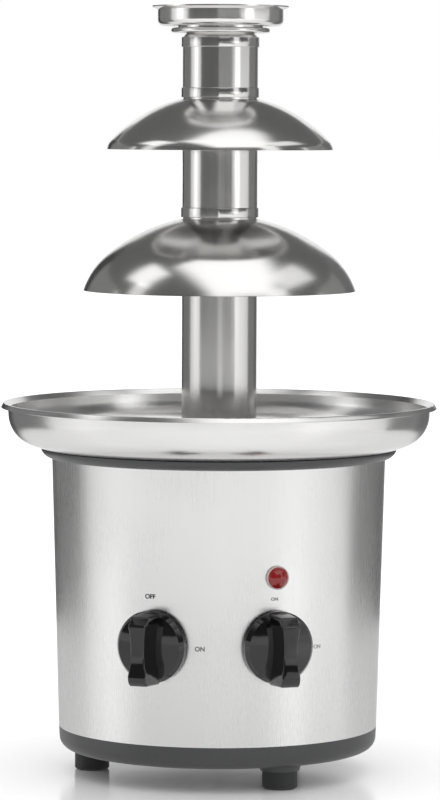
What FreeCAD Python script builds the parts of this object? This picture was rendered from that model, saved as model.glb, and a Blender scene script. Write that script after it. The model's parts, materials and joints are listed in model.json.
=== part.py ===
import FreeCAD
import Part
import math
import os
import Sketcher

# Tabletop chocolate fountain: a steel drum on three feet, a heated bowl, and a tower
# of tubes and domed tiers with a screw inside that lifts the melted chocolate.
# Upright axis through the middle, front towards -Y, feet standing on height 0.
# Lengths in millimetres, angles in degrees.

sizes = {
    # Gaps between pieces, and small edges
    "press_gap": 0.02,
    "thread_gap": 0.03,
    "snug_gap": 0.05,
    "slip_gap": 0.1,
    "hole_gap": 0.2,
    "loose_gap": 0.3,
    "head_gap": 0.4,
    "end_bevel": 0.5,
    # Feet and base pan
    "foot_radius": 8.6,
    "foot_height": 12.0,
    "foot_bevel": 1.0,
    "foot_inset": 16.5,
    "foot_first_angle": 60.0,
    "foot_socket_depth": 3.0,
    "foot_socket_wall": 0.9,
    "foot_socket_flare": 1.1,
    "band_height": 11.2,
    "base_corner": 6.0,
    "base_draft": 0.6,
    "moulding_wall": 2.4,
    "base_spigot_height": 7.0,
    "vent_inner": 26.0,
    "vent_outer": 50.0,
    "vent_width": 3.4,
    # Drum
    "shell_bottom_radius": 79.2,
    "shell_flare": 3.6,
    "shell_height": 133.8,
    "shell_wall": 0.6,
    "cord_hole_radius": 6.0,
    "cord_hole_height": 38.0,
    "grommet_flange": 2.4,
    "grommet_back_flange": 1.8,
    "grommet_back_gap": 0.7,
    "grommet_thickness": 2.2,
    "cord_bore_radius": 3.6,
    # Collar between the drum and the bowl
    "collar_width": 5.4,
    "collar_rise": 3.6,
    "collar_lip": 1.1,
    "collar_foot": 0.6,
    "collar_sweep": 6.0,
    "collar_spigot_height": 8.0,
    "collar_bore_radius": 68.0,
    "collar_flange": 2.6,
    # Bowl
    "bowl_wall": 0.7,
    "bowl_radius": 104.7,
    "bowl_wall_draft": 0.6,
    "bowl_corner": 16.0,
    "bowl_slope_width": 20.7,
    "bowl_slope": 17.0,
    "bowl_depth": 23.4,
    "rim_width": 3.4,
    "rim_crest_width": 1.8,
    "rim_drop": 2.2,
    "rim_flare": 2.8,
    "rim_flat": 0.5,
    "rim_edge": 0.5,
    "well_radius": 27.0,
    "well_depth": 4.0,
    "well_draft": 1.0,
    "well_corner": 1.6,
    "seal_hole_radius": 8.0,
    # Tower tubes
    "tube_radius": 18.65,
    "tube_wall": 0.6,
    "collar_band_radius": 19.3,
    "collar_band_height": 4.9,
    "collar_band_edge": 0.3,
    "neck_radius": 18.3,
    "neck_height": 0.8,
    "spigot_length": 8.0,
    "spigot_clearance": 0.35,
    "bore_step": 1.0,
    "lower_tube_length": 117.3,
    "middle_tube_length": 58.5,
    "top_tube_length": 30.5,
    "inlet_width": 16.0,
    "inlet_height": 9.0,
    "inlet_corner": 5.6,
    "pin_radius": 1.9,
    "pin_height": 6.7,
    "pin_clearance": 0.4,
    # Tiers
    "tier_wall": 0.6,
    "tier_hole_clearance": 0.25,
    "tier_flat_radius": 20.0,
    "lower_tier_radius": 67.6,
    "lower_crown_radius": 88.2,
    "lower_shoulder_radius": 40.1,
    "lower_shoulder_angle": 37.8,
    "upper_tier_radius": 56.0,
    "upper_crown_radius": 74.9,
    "upper_shoulder_radius": 8.0,
    "upper_shoulder_angle": 45.9,
    # Crown on top
    "crown_wall": 0.6,
    "crown_bore_radius": 16.1,
    "crown_neck_top_radius": 16.8,
    "crown_neck_base_radius": 18.6,
    "crown_neck_height": 2.2,
    "bead_radius": 24.5,
    "bead_height": 2.4,
    "waist_radius": 21.0,
    "waist_height": 1.0,
    "cup_radius": 31.1,
    "cup_corner": 3.0,
    "cup_height": 8.0,
    "cup_lip_radius": 33.8,
    "cup_lip_rise": 1.2,
    # Screw, shaft and seal
    "shaft_radius": 4.0,
    "shaft_rise": 18.7,
    "shaft_depth": 11.0,
    "running_clearance": 0.05,
    "drive_pin_radius": 1.5,
    "drive_pin_length": 13.0,
    "drive_pin_below_top": 7.0,
    "core_radius": 5.0,
    "hub_radius": 8.0,
    "hub_height": 15.0,
    "hub_floor_gap": 4.2,
    "blade_radius": 15.7,
    "blade_pitch": 27.0,
    "blade_root": 3.0,
    "blade_tip": 1.6,
    "blade_foot_gap": 1.0,
    "blade_top_gap": 2.0,
    "auger_below_crown": 7.0,
    "seal_flange_radius": 10.5,
    "seal_flange_height": 1.4,
    "seal_lip_height": 2.6,
    "seal_lip_root": 2.0,
    "seal_lip_tip": 0.9,
    # Heater
    "plate_inner_radius": 31.0,
    "plate_outer_radius": 62.0,
    "plate_thickness": 4.0,
    "element_circle": 50.0,
    "element_radius": 3.2,
    "element_sweep": 320.0,
    "terminal_inset": 4.0,
    "terminal_pin_radius": 1.5,
    "terminal_pin_length": 12.0,
    "thermostat_radius": 7.0,
    "thermostat_height": 7.0,
    "thermostat_rim": 1.4,
    "thermostat_rim_height": 3.2,
    "thermostat_circle": 39.0,
    "thermostat_angle": 90.0,
    "fuse_angle": 210.0,
    "fuse_radius": 2.0,
    "fuse_length": 11.0,
    # Motor hung under the bowl
    "stud_circle": 38.0,
    "stud_radius": 2.0,
    "stud_end": 1.0,
    "bracket_drop": 17.1,
    "bracket_radius": 44.0,
    "bracket_thickness": 1.5,
    "bracket_window_radius": 7.0,
    "bracket_window_circle": 32.0,
    "nut_height": 3.0,
    "nut_flats": 7.0,
    "gearbox_radius": 28.0,
    "gearbox_height": 18.0,
    "gearbox_edge": 1.5,
    "nose_radius": 10.0,
    "nose_height": 5.0,
    "bush_radius": 6.5,
    "bush_length": 9.0,
    "motor_radius": 24.0,
    "motor_height": 36.0,
    "motor_edge": 3.0,
    "gearbox_screw_circle": 20.0,
    "gearbox_screw_radius": 1.6,
    "gearbox_screw_length": 7.0,
    "gearbox_screw_hole": 8.0,
    "gearbox_screw_head_radius": 3.0,
    "gearbox_screw_head_height": 2.0,
    # Tie rods and foot screws
    "tie_inset": 10.2,
    "tie_radius": 2.0,
    "tie_head_radius": 4.0,
    "tie_head_height": 2.6,
    "tie_boss_radius": 5.0,
    "tie_boss_depth": 10.0,
    "tie_seat_height": 5.6,
    "foot_screw_radius": 1.7,
    "foot_screw_head_radius": 3.4,
    "foot_screw_head_height": 2.2,
    "foot_recess_depth": 5.0,
    "foot_boss_height": 8.0,
    "foot_boss_radius": 4.4,
    "foot_screw_end": 1.0,
    # Controls
    "panel_angle": 21.4,
    "knob_height": 71.8,
    "knob_radius": 17.5,
    "knob_skirt": 2.6,
    "knob_disc_height": 6.2,
    "knob_gap": 1.2,
    "knob_wall": 1.8,
    "knob_slope": 1.6,
    "knob_dome": 1.1,
    "knob_cavity_depth": 4.0,
    "grip_height": 21.0,
    "grip_width": 10.8,
    "grip_waist": 8.4,
    "grip_waist_share": 0.72,
    "grip_corner": 1.6,
    "grip_top_inset": 1.0,
    "grip_taper": 3.0,
    "grip_overhang": 0.4,
    "grip_toe": 5.0,
    "grip_dip": 0.8,
    "grip_edge": 0.8,
    "shoulder_length": 5.0,
    "shoulder_drop": 7.0,
    "spindle_radius": 3.0,
    "spindle_reach": 15.0,
    "spindle_flat": 0.8,
    "neck_hole_radius": 5.0,
    "switch_neck_radius": 4.8,
    "switch_neck_length": 4.4,
    "switch_width": 25.0,
    "switch_depth": 17.0,
    "switch_corner": 2.0,
    "switch_floor": 3.0,
    "switch_setback": 2.4,
    "switch_nut_flats": 13.0,
    "switch_nut_height": 2.2,
    "switch_nut_gap": 0.3,
    # Pilot light
    "pilot_rise": 33.5,
    "pilot_radius": 5.0,
    "pilot_dome": 3.0,
    "pilot_bezel_radius": 5.7,
    "pilot_bezel_height": 1.2,
    "pilot_bezel_edge": 0.5,
    "pilot_bezel_floor": 0.4,
    "pilot_body_radius": 4.2,
    "pilot_body_length": 20.0,
    # Terminal block on the base
    "block_length": 32.0,
    "block_width": 15.0,
    "block_height": 12.0,
    "block_offset": 44.0,
    "block_screw_radius": 2.2,
    "block_screw_height": 3.0,
    "block_screw_pitch": 10.6,
    "block_well_depth": 5.0,
}

footCount = 3
studCount = 3
screwCount = 3
nutSides = 6
inletCount = 3
ventCount = 12

doc = FreeCAD.newDocument("fountain")
sheet = doc.addObject("Spreadsheet::Sheet", "Sizes")
for row, (alias, number) in enumerate(sizes.items(), start=1):
    sheet.set(f"A{row}", alias)
    sheet.set(f"B{row}", str(number))
    sheet.setAlias(f"B{row}", alias)
doc.recompute()


class Size:
    # A number kept together with the formula that gives it from the sheet

    def __init__(self, value, formula):
        self.value = float(value)
        self.formula = formula

    def __float__(self):
        return self.value

    def __add__(self, other):
        return combined(self, "+", other)

    def __radd__(self, other):
        return combined(other, "+", self)

    def __sub__(self, other):
        return combined(self, "-", other)

    def __rsub__(self, other):
        return combined(other, "-", self)

    def __mul__(self, other):
        return combined(self, "*", other)

    def __rmul__(self, other):
        return combined(other, "*", self)

    def __truediv__(self, other):
        return combined(self, "/", other)

    def __neg__(self):
        return combined(0, "-", self)


def sized(item):
    return item if isinstance(item, Size) else Size(item, str(item))


def combined(left, sign, right):
    first = sized(left)
    second = sized(right)
    if sign == "+":
        value = first.value + second.value
    elif sign == "-":
        value = first.value - second.value
    elif sign == "*":
        value = first.value * second.value
    else:
        value = first.value / second.value
    return Size(value, f"({first.formula} {sign} {second.formula})")


def root(item):
    return Size(math.sqrt(item.value), f"sqrt({item.formula})")


def sine(item):
    angle = sized(item)
    return Size(math.sin(math.radians(angle.value)), f"sin({angle.formula})")


def cosine(item):
    angle = sized(item)
    return Size(math.cos(math.radians(angle.value)), f"cos({angle.formula})")


def tangent(item):
    angle = sized(item)
    return Size(math.tan(math.radians(angle.value)), f"tan({angle.formula})")


class Dimensions:
    # Each sheet cell by its alias

    def __getattr__(self, alias):
        return Size(sizes[alias], f"Sizes.{alias}")


dim = Dimensions()


def bind(target, path, item):
    # Sets a property from a formula, so that it follows the sheet
    target.setExpression(path, sized(item).formula)


def place(target, x=0, y=0, z=0, turn=0):
    # Moves a finished piece and turns it about the upright axis
    target.Placement = FreeCAD.Placement(
        FreeCAD.Vector(float(x), float(y), float(z)),
        FreeCAD.Rotation(FreeCAD.Vector(0, 0, 1), float(turn)))
    bind(target, "Placement.Base.x", x)
    bind(target, "Placement.Base.y", y)
    bind(target, "Placement.Base.z", z)
    bind(target, "Placement.Rotation.Angle", turn)


def around(radius, angle):
    # A point on a circle about the upright axis
    return radius * cosine(angle), radius * sine(angle)


# Sketch tools

def sketchOn(body, name, plane, height=None, turn=None):
    # A sketch on one of the body's own planes, lifted by a height or turned about the upright axis
    sketch = body.newObject("Sketcher::SketchObject", name)
    base = next(item for item in body.Origin.OriginFeatures if item.Role == plane)
    sketch.AttachmentSupport = [(base, "")]
    sketch.MapMode = "FlatFace"
    if height is not None:
        bind(sketch, "AttachmentOffset.Base.z", height)
    if turn is not None:
        sketch.AttachmentOffset = FreeCAD.Placement(
            FreeCAD.Vector(0, 0, 0), FreeCAD.Rotation(FreeCAD.Vector(0, 1, 0), float(turn)))
        bind(sketch, "AttachmentOffset.Rotation.Angle", turn)
    return sketch


def fixPoint(sketch, geometry, end, across, up):
    # Holds one point of a sketch at the given distances from its origin. Numbers -1 and -2 are
    # the sketch's own across and upright axes, and -1 with end 1 is its origin.
    for kind, axis, item in (("DistanceX", -2, across), ("DistanceY", -1, up)):
        if sized(item).formula == "0":
            sketch.addConstraint(Sketcher.Constraint("PointOnObject", geometry, end, axis))
            continue
        index = sketch.addConstraint(Sketcher.Constraint(kind, -1, 1, geometry, end, float(item)))
        bind(sketch, f"Constraints[{index}]", item)


def addArc(sketch, centre, radius, start, finish):
    # An arc the short way round; returns its number and which ends are start and finish
    first = math.atan2(start.y - centre.y, start.x - centre.x)
    last = math.atan2(finish.y - centre.y, finish.x - centre.x)
    circle = Part.Circle(centre, FreeCAD.Vector(0, 0, 1), radius)
    if (last - first) % (2 * math.pi) < math.pi:
        return sketch.addGeometry(Part.ArcOfCircle(circle, first, last)), 1, 2
    return sketch.addGeometry(Part.ArcOfCircle(circle, last, first)), 2, 1


def setRadius(sketch, geometry, radius):
    index = sketch.addConstraint(Sketcher.Constraint("Radius", geometry, float(radius)))
    bind(sketch, f"Constraints[{index}]", radius)


def outline(sketch, corners):
    # Closed outline from corners (across, up, note). A note is ("round", radius) for a rounded
    # corner, or ("right", radius) or ("left", radius) for an arc to the next corner that
    # swells to that side of the way there.
    corners = [corner if len(corner) == 3 else (*corner, None) for corner in corners]
    count = len(corners)
    spots = [FreeCAD.Vector(float(across), float(up), 0) for across, up, note in corners]
    arrive = list(spots)
    leave = list(spots)
    centres = {}
    for number, (across, up, note) in enumerate(corners):
        if note and note[0] == "round":
            back = (spots[number - 1] - spots[number]).normalize()
            ahead = (spots[(number + 1) % count] - spots[number]).normalize()
            half = back.getAngle(ahead) / 2
            radius = float(note[1])
            arrive[number] = spots[number] + back * (radius / math.tan(half))
            leave[number] = spots[number] + ahead * (radius / math.tan(half))
            centres[number] = spots[number] + (back + ahead).normalize() * (radius / math.sin(half))
    edges = []
    for number, (across, up, note) in enumerate(corners):
        start = leave[number]
        finish = arrive[(number + 1) % count]
        if note and note[0] in ("right", "left"):
            radius = float(note[1])
            middle = (start + finish) * 0.5
            way = (finish - start).normalize()
            left = FreeCAD.Vector(-way.y, way.x, 0)
            depth = math.sqrt(radius ** 2 - ((finish - start).Length / 2) ** 2)
            centre = middle + left * (depth if note[0] == "right" else -depth)
            edges.append(addArc(sketch, centre, radius, start, finish))
        else:
            edges.append((sketch.addGeometry(Part.LineSegment(start, finish)), 1, 2))
    for number, (across, up, note) in enumerate(corners):
        before, beforeStart, beforeEnd = edges[number - 1]
        after, afterStart, afterEnd = edges[number]
        if number in centres:
            arc, arcStart, arcEnd = addArc(
                sketch, centres[number], float(note[1]), arrive[number], leave[number])
            sketch.addConstraint(Sketcher.Constraint("Tangent", before, beforeEnd, arc, arcStart))
            sketch.addConstraint(Sketcher.Constraint("Tangent", arc, arcEnd, after, afterStart))
            setRadius(sketch, arc, note[1])
            tip = sketch.addGeometry(Part.Point(spots[number]), True)
            sketch.addConstraint(Sketcher.Constraint("PointOnObject", tip, 1, before))
            sketch.addConstraint(Sketcher.Constraint("PointOnObject", tip, 1, after))
            fixPoint(sketch, tip, 1, across, up)
            continue
        sketch.addConstraint(Sketcher.Constraint("Coincident", before, beforeEnd, after, afterStart))
        fixPoint(sketch, after, afterStart, across, up)
        if note:
            setRadius(sketch, after, note[1])


def circles(sketch, places):
    # Full circles, each (across, up, radius)
    for across, up, radius in places:
        ring = sketch.addGeometry(Part.Circle(
            FreeCAD.Vector(float(across), float(up), 0), FreeCAD.Vector(0, 0, 1), float(radius)))
        setRadius(sketch, ring, radius)
        fixPoint(sketch, ring, 3, across, up)


# Feature tools

pieces = []


def newBody(label):
    body = doc.addObject("PartDesign::Body", label)
    pieces.append(body)
    return body


def turned(label, corners):
    # A piece turned about its upright axis from half of its section
    body = newBody(label)
    addTurned(body, label + "_section", corners)
    return body


def addTurned(body, name, corners):
    sketch = sketchOn(body, name, "XZ_Plane")
    outline(sketch, corners)
    feature = body.newObject("PartDesign::Revolution", name + "_turn")
    feature.Profile = sketch
    feature.ReferenceAxis = (sketch, ["V_Axis"])
    feature.Angle = 360
    return feature


def addPad(body, name, height, length, draw, places):
    # Material raised upwards from a level
    sketch = sketchOn(body, name, "XY_Plane", height=height)
    draw(sketch, places)
    feature = body.newObject("PartDesign::Pad", name + "_pad")
    feature.Profile = sketch
    bind(feature, "Length", length)
    return feature


def cutUp(body, name, height, length, draw, places):
    # Material cut away upwards from a level, checked that something was removed
    doc.recompute()
    before = body.Shape.Volume
    sketch = sketchOn(body, name, "XY_Plane", height=height)
    draw(sketch, places)
    feature = body.newObject("PartDesign::Pocket", name + "_cut")
    feature.Profile = sketch
    feature.Reversed = True
    bind(feature, "Length", length)
    doc.recompute()
    if body.Shape.Volume >= before:
        raise RuntimeError(f"{name} cuts nothing")
    return feature


def cutOut(body, name, turn, draw, places):
    # Material cut away from the axis outwards through one side, turned about the upright axis
    doc.recompute()
    before = body.Shape.Volume
    sketch = sketchOn(body, name, "XZ_Plane", turn=turn)
    draw(sketch, places)
    feature = body.newObject("PartDesign::Pocket", name + "_cut")
    feature.Profile = sketch
    feature.Type = "ThroughAll"
    feature.Reversed = True
    doc.recompute()
    if body.Shape.Volume >= before:
        raise RuntimeError(f"{name} cuts nothing")
    return feature


def cutAcross(body, name, corners):
    # Material cut away right across a piece, seen from its side
    doc.recompute()
    before = body.Shape.Volume
    sketch = sketchOn(body, name, "YZ_Plane")
    outline(sketch, corners)
    feature = body.newObject("PartDesign::Pocket", name + "_cut")
    feature.Profile = sketch
    feature.Type = "ThroughAll"
    feature.Midplane = True
    doc.recompute()
    if body.Shape.Volume >= before:
        raise RuntimeError(f"{name} cuts nothing")
    return feature


def edgesAbove(shape, height):
    # Names of the edges that lie wholly above a height
    return [f"Edge{number}" for number, edge in enumerate(shape.Edges, start=1)
            if edge.BoundBox.ZMin > height]


def group(label, members):
    # Like pieces that share one node
    node = doc.addObject("Part::Compound", label)
    for member in members:
        pieces.remove(member)
    node.Links = members
    pieces.append(node)
    return node


# Levels and radii that several pieces share. A cut runs past the face it opens, and a raised
# shape runs into the one it joins. The shares are those of a thin edge and of a rod's radius
# that their roundings take.

past = 1
overlap = 0.5
edgeShare = 0.45
tipShare = 0.6
panBottom = dim.foot_height
panFloor = panBottom + dim.moulding_wall
shellBottom = panBottom + dim.band_height
shellTop = shellBottom + dim.shell_height
bowlSeat = shellTop + dim.collar_rise
wellUnder = bowlSeat - dim.well_depth
wellFloor = wellUnder + dim.bowl_wall
shaftTop = wellFloor + dim.shaft_rise
footCircle = dim.shell_bottom_radius - dim.foot_inset
tieCircle = dim.shell_bottom_radius - dim.tie_inset
shellTopRadius = dim.shell_bottom_radius + dim.shell_flare
shellSlope = dim.shell_flare / dim.shell_height
collarRadius = shellTopRadius + dim.collar_width
bowlFlat = dim.bowl_radius - dim.bowl_slope_width
rimRadius = dim.bowl_radius + dim.rim_width
rimCrest = dim.bowl_radius + dim.rim_crest_width
pilotHeight = dim.knob_height + dim.pilot_rise
tubeBore = dim.tube_radius - dim.tube_wall
spigotRadius = tubeBore - dim.spigot_clearance
spigotBore = spigotRadius - dim.tube_wall
lowerSeat = wellFloor + dim.lower_tube_length
middleFoot = lowerSeat + dim.tier_wall
upperSeat = middleFoot + dim.middle_tube_length
topFoot = upperSeat + dim.tier_wall
crownFoot = topFoot + dim.top_tube_length
bracketTop = bowlSeat - dim.bracket_drop
bracketUnder = bracketTop - dim.bracket_thickness
gearboxUnder = bracketUnder - dim.gearbox_height
studAngles = [30 + 360 / studCount * number for number in range(studCount)]
tieAngles = [30 + 360 / footCount * number for number in range(footCount)]
footAngles = [dim.foot_first_angle + 360 / footCount * number for number in range(footCount)]


def shellRadiusAt(height):
    # Outside radius of the tapered drum at a height
    return dim.shell_bottom_radius + (height - shellBottom) * shellSlope


def ring(inner, outer, low, high):
    # Section of a plain ring
    return [(inner, low), (outer, low), (outer, high), (inner, high)]


# Feet

def makeFoot(label, angle):
    bore = dim.foot_screw_radius + dim.slip_gap
    recess = dim.foot_screw_head_radius + dim.head_gap
    body = turned(label, [
        (bore, dim.foot_recess_depth),
        (recess, dim.foot_recess_depth),
        (recess, 0),
        (dim.foot_radius - dim.foot_bevel, 0),
        (dim.foot_radius, dim.foot_bevel),
        (dim.foot_radius, dim.foot_height),
        (bore, dim.foot_height),
    ])
    place(body, *around(footCircle, angle))


for label, angle in zip(("rear_foot", "left_foot", "front_foot"), footAngles):
    makeFoot(label, angle)


def makeScrew(label, shank, head, headHeight, length, x, y, z):
    # A round-headed screw standing on its head, its thread left plain
    body = turned(label, [
        (0, 0),
        (head, 0, ("round", headHeight * edgeShare)),
        (head, headHeight),
        (shank, headHeight),
        (shank, headHeight + length),
        (0, headHeight + length),
    ])
    place(body, x, y, z)
    return body


footScrewFoot = dim.foot_recess_depth - dim.foot_screw_head_height
footScrewLength = panFloor + dim.foot_boss_height - dim.foot_recess_depth - dim.foot_screw_end
group("foot_screws", [
    makeScrew(f"foot_screw_{number}", dim.foot_screw_radius, dim.foot_screw_head_radius,
              dim.foot_screw_head_height, footScrewLength, *around(footCircle, angle), footScrewFoot)
    for number, angle in enumerate(footAngles, start=1)])


# Base pan: a moulded dish that closes the drum from below

def makeBasePan():
    spigot = dim.shell_bottom_radius - dim.shell_wall - dim.loose_gap
    innerSpigot = spigot - dim.moulding_wall
    body = turned("base_pan", [
        (0, panBottom),
        (dim.shell_bottom_radius - dim.base_draft, panBottom, ("round", dim.base_corner)),
        (dim.shell_bottom_radius, shellBottom),
        (spigot, shellBottom),
        (spigot, shellBottom + dim.base_spigot_height),
        (innerSpigot, shellBottom + dim.base_spigot_height),
        (innerSpigot, panFloor, ("round", dim.base_corner - dim.moulding_wall)),
        (0, panFloor),
    ])
    footPlaces = [around(footCircle, angle) for angle in footAngles]
    tiePlaces = [around(tieCircle, angle) for angle in tieAngles]
    addPad(body, "foot_bosses", panFloor, dim.foot_boss_height, circles,
           [(*spot, dim.foot_boss_radius) for spot in footPlaces])
    addPad(body, "tie_bosses", panFloor, dim.tie_seat_height, circles,
           [(*spot, dim.tie_boss_radius) for spot in tiePlaces])
    cutUp(body, "foot_screw_holes", panBottom, dim.moulding_wall + dim.foot_boss_height + past, circles,
          [(*spot, dim.foot_screw_radius + dim.snug_gap) for spot in footPlaces])
    cutUp(body, "tie_holes", panBottom, dim.moulding_wall + dim.tie_seat_height + past, circles,
          [(*spot, dim.tie_radius + dim.hole_gap) for spot in tiePlaces])
    cutUp(body, "tie_recesses", panBottom, dim.tie_head_height + dim.head_gap, circles,
          [(*spot, dim.tie_head_radius + dim.head_gap) for spot in tiePlaces])
    vents = sketchOn(body, "vent_slot", "XY_Plane", height=panBottom)
    half = dim.vent_width / 2
    outline(vents, [(dim.vent_inner, -half), (dim.vent_outer, -half), (dim.vent_outer, half),
                    (dim.vent_inner, half)])
    slot = body.newObject("PartDesign::Pocket", "vent_slot_cut")
    slot.Profile = vents
    slot.Reversed = True
    bind(slot, "Length", dim.moulding_wall + past)
    doc.recompute()
    oneSlot = body.Shape.Volume
    row = body.newObject("PartDesign::PolarPattern", "vent_slots")
    row.Originals = [slot]
    row.Axis = (vents, ["N_Axis"])
    row.Angle = 360
    row.Occurrences = ventCount
    body.Tip = row
    doc.recompute()
    if body.Shape.Volume >= oneSlot:
        raise RuntimeError("the vent slots are not repeated")
    return body


basePan = makeBasePan()


# Foot sockets: flared moulded collars under the pan, one round each foot

def makeFootSocket(number, angle):
    socket = doc.addObject("PartDesign::Body", f"foot_socket_{number}")
    inner = dim.foot_radius + dim.slip_gap
    outer = inner + dim.foot_socket_wall
    depth = dim.foot_socket_depth
    addTurned(socket, f"foot_socket_{number}_section", [
        (inner, panBottom - depth), (outer, panBottom - depth),
        (outer + dim.foot_socket_flare, panBottom + overlap), (inner, panBottom + overlap)])
    place(socket, *around(footCircle, angle))
    return socket


sockets = [makeFootSocket(number, angle) for number, angle in enumerate(footAngles, start=1)]
pan = doc.addObject("Part::MultiFuse", "base_pan_with_sockets")
pan.Shapes = [basePan, *sockets]
basePan.Label = "base_dish"
pan.Label = "base_pan"
pieces.remove(basePan)
pieces.append(pan)


# Tie rods: long screws that pull the pan and the collar together over the drum

tieFoot = panBottom + dim.head_gap
tieLength = shellTop - tieFoot - dim.tie_head_height
group("tie_rods", [
    makeScrew(f"tie_rod_{number}", dim.tie_radius, dim.tie_head_radius, dim.tie_head_height,
              tieLength, *around(tieCircle, angle), tieFoot)
    for number, angle in enumerate(tieAngles, start=1)])


# Drum: rolled and tapered steel sheet

def makeShell():
    bottom = dim.shell_bottom_radius
    top = shellTopRadius
    wall = dim.shell_wall
    body = turned("body_shell", [
        (bottom - wall, shellBottom), (bottom, shellBottom), (top, shellTop), (top - wall, shellTop)])
    for number, turn in enumerate((-dim.panel_angle, dim.panel_angle), start=1):
        cutOut(body, f"control_hole_{number}", turn, circles, [(0, dim.knob_height, dim.neck_hole_radius)])
    cutOut(body, "pilot_hole", dim.panel_angle, circles,
           [(0, pilotHeight, dim.pilot_body_radius + dim.hole_gap)])
    cutOut(body, "cord_hole", 180, circles, [(0, dim.cord_hole_height, dim.cord_hole_radius)])


makeShell()


# Cord inlet: a rubber grommet in the back of the drum

def makeGrommet():
    inner = dim.cord_bore_radius
    neck = dim.cord_hole_radius - dim.slip_gap
    flange = dim.cord_hole_radius + dim.grommet_flange
    backFlange = dim.cord_hole_radius + dim.grommet_back_flange
    thick = dim.grommet_thickness
    front = dim.loose_gap
    back = -(dim.shell_wall + dim.grommet_back_gap)
    body = turned("cord_grommet", [
        (inner, back - thick),
        (backFlange, back - thick),
        (backFlange, back),
        (neck, back),
        (neck, front),
        (flange, front),
        (flange, front + thick, ("round", thick * edgeShare)),
        (inner, front + thick),
    ])
    standOut(body, 180, dim.cord_hole_height)


def standOut(body, turn, height, drop=0):
    # Lays a piece, made upright at the origin, with its axis pointing out of the drum wall
    radius = shellRadiusAt(height)
    azimuth = sized(turn) - 90
    body.Placement = FreeCAD.Placement(
        FreeCAD.Vector(0, 0, 0), FreeCAD.Rotation(FreeCAD.Vector(0, 0, 1), float(turn))
        * FreeCAD.Rotation(FreeCAD.Vector(1, 0, 0), 90))
    bind(body, "Placement.Base.x", (radius - drop) * cosine(azimuth))
    bind(body, "Placement.Base.y", (radius - drop) * sine(azimuth))
    bind(body, "Placement.Base.z", height)


makeGrommet()


# Collar: moulded ring with a flared lip between the drum and the bowl

def makeCollar():
    spigot = shellTopRadius - dim.shell_wall - dim.loose_gap
    lipTop = bowlSeat + (collarRadius - bowlFlat) * tangent(dim.bowl_slope) - dim.loose_gap
    bore = dim.collar_bore_radius
    flangeUnder = bowlSeat - dim.collar_flange
    body = turned("top_collar", [
        (bore, flangeUnder),
        (spigot - dim.moulding_wall, flangeUnder),
        (spigot - dim.moulding_wall, shellTop - dim.collar_spigot_height),
        (spigot, shellTop - dim.collar_spigot_height),
        (spigot, shellTop),
        (shellTopRadius + dim.collar_foot, shellTop, ("right", dim.collar_sweep)),
        (collarRadius, lipTop - dim.collar_lip),
        (collarRadius, lipTop),
        (bowlFlat, bowlSeat),
        (bore, bowlSeat),
    ])
    bossFoot = shellTop - dim.tie_boss_depth
    tiePlaces = [around(tieCircle, angle) for angle in tieAngles]
    addPad(body, "rod_bosses", bossFoot, flangeUnder - bossFoot + overlap, circles,
           [(*spot, dim.tie_boss_radius) for spot in tiePlaces])
    cutUp(body, "rod_holes", bossFoot, dim.tie_boss_depth + dim.loose_gap, circles,
          [(*spot, dim.tie_radius + dim.snug_gap) for spot in tiePlaces])


makeCollar()


# Bowl: spun steel tray with a well in the middle and a rolled-over rim

def makeBowl():
    wall = dim.bowl_wall
    foot = dim.bowl_radius - dim.bowl_wall_draft
    turnUp = bowlSeat + (foot - bowlFlat) * tangent(dim.bowl_slope)
    crest = bowlSeat + dim.bowl_depth
    turned("bowl", [
        (dim.seal_hole_radius, wellUnder),
        (dim.well_radius - dim.well_draft, wellUnder, ("round", dim.well_corner)),
        (dim.well_radius, bowlSeat),
        (bowlFlat, bowlSeat),
        (foot, turnUp, ("round", dim.bowl_corner)),
        (dim.bowl_radius, crest - dim.rim_flare),
        (rimCrest, crest - wall),
        (rimRadius - wall, crest - dim.rim_drop),
        (rimRadius, crest - dim.rim_drop),
        (rimCrest + dim.rim_flat, crest, ("round", dim.rim_edge)),
        (rimCrest - wall, crest, ("round", dim.rim_edge)),
        (dim.bowl_radius - wall, crest - dim.rim_flare + wall / 2),
        (foot - wall, turnUp + wall, ("round", dim.bowl_corner - wall)),
        (bowlFlat, bowlSeat + wall),
        (dim.well_radius - wall, bowlSeat + wall),
        (dim.well_radius - dim.well_draft - wall, wellFloor, ("round", dim.well_corner - wall)),
        (dim.seal_hole_radius, wellFloor),
    ])


makeBowl()

pinAngles = [360 / inletCount * number + 90 for number in range(inletCount)]
pinCircle = dim.tube_radius - dim.tube_wall / 2


def makeStud(label, radius, low, high, x, y):
    # A plain round stud with a bevelled end
    body = turned(label, [
        (0, low), (radius - dim.end_bevel, low), (radius, low + dim.end_bevel), (radius, high), (0, high)])
    place(body, x, y)
    return body


def makePin(number, angle):
    # A locating pin with a rounded top
    radius = dim.pin_radius
    body = turned(f"locating_pin_{number}", [
        (0, wellFloor), (radius, wellFloor),
        (radius, wellFloor + dim.pin_height, ("round", radius * tipShare)),
        (0, wellFloor + dim.pin_height)])
    place(body, *around(pinCircle, angle))
    return body


group("locating_pins", [makePin(number, angle) for number, angle in enumerate(pinAngles, start=1)])


# Tower tubes

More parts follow.
